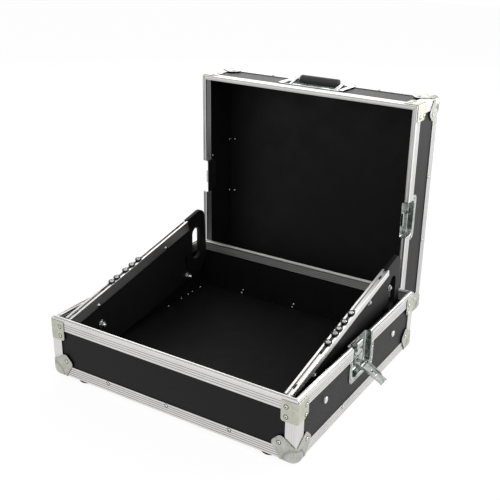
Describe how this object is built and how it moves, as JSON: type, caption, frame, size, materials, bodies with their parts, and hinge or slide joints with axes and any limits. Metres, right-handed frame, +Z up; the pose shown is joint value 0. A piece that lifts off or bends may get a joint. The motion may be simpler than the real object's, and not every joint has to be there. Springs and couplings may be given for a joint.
{
  "type": "dj mixer flight case",
  "caption": "Open equipment case: board tray with aluminium edges, tilting slotted rack rails, side butterfly latches, and a lift-off lid with a recessed bail handle.",
  "frame": {"origin": "middle of the base's bottom panel, on its underside", "axes": "+Z up, +Y from the front of the base to the lid behind it, +X to the right seen from the front"},
  "size_m": [0.6186, 0.6841, 0.4922],
  "materials": {
    "laminate_board": "dark laminate on plywood, fine pebbled texture, satin",
    "painted_board": "black stained board, matte",
    "edge_aluminium": "extruded, fine lengthwise ribs, satin",
    "zinc_plate": "zinc plated pressed steel, satin",
    "chrome_plate": "bright plated pressed steel",
    "black_steel": "black oxide, satin",
    "black_rubber": "moulded rubber, matte"
  },
  "bodies": {
    "base": {"base_bottom_panel": "laminate_board", "base_front_panel": "laminate_board", "base_rear_panel": "laminate_board", "base_left_panel": "laminate_board", "base_right_panel": "laminate_board", "base_edge_frame": "edge_aluminium", "base_rim_front": "edge_aluminium", "base_rim_rear": "edge_aluminium", "base_corner_front_left": "zinc_plate", "base_corner_front_right": "zinc_plate", "base_corner_rear_left": "zinc_plate", "base_corner_rear_right": "zinc_plate", "rubber_foot_front_left": "black_rubber", "rubber_foot_front_right": "black_rubber", "rubber_foot_rear_left": "black_rubber", "rubber_foot_rear_right": "black_rubber", "pivot_bolt_right": "zinc_plate", "pivot_spacer_right": "black_steel", "pivot_nut_right": "zinc_plate", "lock_bolt_right": "zinc_plate", "lock_spacer_right": "black_steel", "lock_nut_right": "zinc_plate", "latch_dish_right": "zinc_plate", "pivot_bolt_left": "zinc_plate", "pivot_spacer_left": "black_steel", "pivot_nut_left": "zinc_plate", "lock_bolt_left": "zinc_plate", "lock_spacer_left": "black_steel", "lock_nut_left": "zinc_plate", "latch_dish_left": "zinc_plate"},
    "lid": {"lid_top_panel": "laminate_board", "lid_front_panel": "laminate_board", "lid_rear_panel": "laminate_board", "lid_left_panel": "laminate_board", "lid_right_panel": "laminate_board", "lid_edge_frame": "edge_aluminium", "lid_rim_front": "edge_aluminium", "lid_rim_rear": "edge_aluminium", "lid_corner_front_left": "zinc_plate", "lid_corner_front_right": "zinc_plate", "lid_corner_rear_left": "zinc_plate", "lid_corner_rear_right": "zinc_plate", "catch_dish_right": "zinc_plate", "catch_dish_left": "zinc_plate", "handle_dish": "chrome_plate"},
    "rotor_right": {"latch_rotor_right": "zinc_plate"},
    "hook_right": {"latch_hook_right": "zinc_plate"},
    "wing_right": {"latch_wing_right": "zinc_plate"},
    "rack_frame_right": {"tilt_cheek_right": "painted_board", "rack_rail_right": "edge_aluminium", "screw_strip_right": "black_steel"},
    "rotor_left": {"latch_rotor_left": "zinc_plate"},
    "hook_left": {"latch_hook_left": "zinc_plate"},
    "wing_left": {"latch_wing_left": "zinc_plate"},
    "rack_frame_left": {"tilt_cheek_left": "painted_board", "rack_rail_left": "edge_aluminium", "screw_strip_left": "black_steel"},
    "handle": {"handle_bail": "chrome_plate", "handle_grip": "black_rubber"}
  },
  "joints": [
    {"name": "lid_lift", "type": "slide", "parent": "base", "child": "lid", "axis": [0, 0, 1], "range_m": [0, 0.15]},
    {"name": "handle_swing", "type": "hinge", "parent": "lid", "child": "handle", "pos_m": [-0.05319, 0.35877, 0.4625], "axis": [0.9993, -0.0377, 0], "range_deg": [0, 90]},
    {"name": "tilt_right", "type": "hinge", "parent": "base", "child": "rack_frame_right", "pos_m": [0.232, -0.1394, 0.0662], "axis": [1, 0, 0], "range_deg": [-9, 0]},
    {"name": "rotor_turn_right", "type": "hinge", "parent": "base", "child": "rotor_right", "pos_m": [0.252, 0, 0.0782], "axis": [1, 0, 0], "range_deg": [0, 180]},
    {"name": "hook_strap_right", "type": "hinge", "parent": "rotor_right", "child": "hook_right", "pos_m": [0.25, 0, 0.0727], "axis": [1, 0, 0], "range_deg": [-180, 0]},
    {"name": "wing_fold_right", "type": "hinge", "parent": "rotor_right", "child": "wing_right", "pos_m": [0.2618, 0, 0.0657], "axis": [0, -1, 0], "range_deg": [0, 118]},
    {"name": "tilt_left", "type": "hinge", "parent": "base", "child": "rack_frame_left", "pos_m": [-0.232, -0.1394, 0.0662], "axis": [1, 0, 0], "range_deg": [-9, 0]},
    {"name": "rotor_turn_left", "type": "hinge", "parent": "base", "child": "rotor_left", "pos_m": [-0.252, 0, 0.0782], "axis": [-1, 0, 0], "range_deg": [0, 180]},
    {"name": "hook_strap_left", "type": "hinge", "parent": "rotor_left", "child": "hook_left", "pos_m": [-0.25, 0, 0.0727], "axis": [-1, 0, 0], "range_deg": [-180, 0]},
    {"name": "wing_fold_left", "type": "hinge", "parent": "rotor_left", "child": "wing_left", "pos_m": [-0.2618, 0, 0.0657], "axis": [0, 1, 0], "range_deg": [0, 118]}
  ],
  "couplings": [
    {"joint": "hook_strap_right", "follows": "rotor_turn_right", "ratio": -1},
    {"joint": "hook_strap_left", "follows": "rotor_turn_left", "ratio": -1}
  ]
}
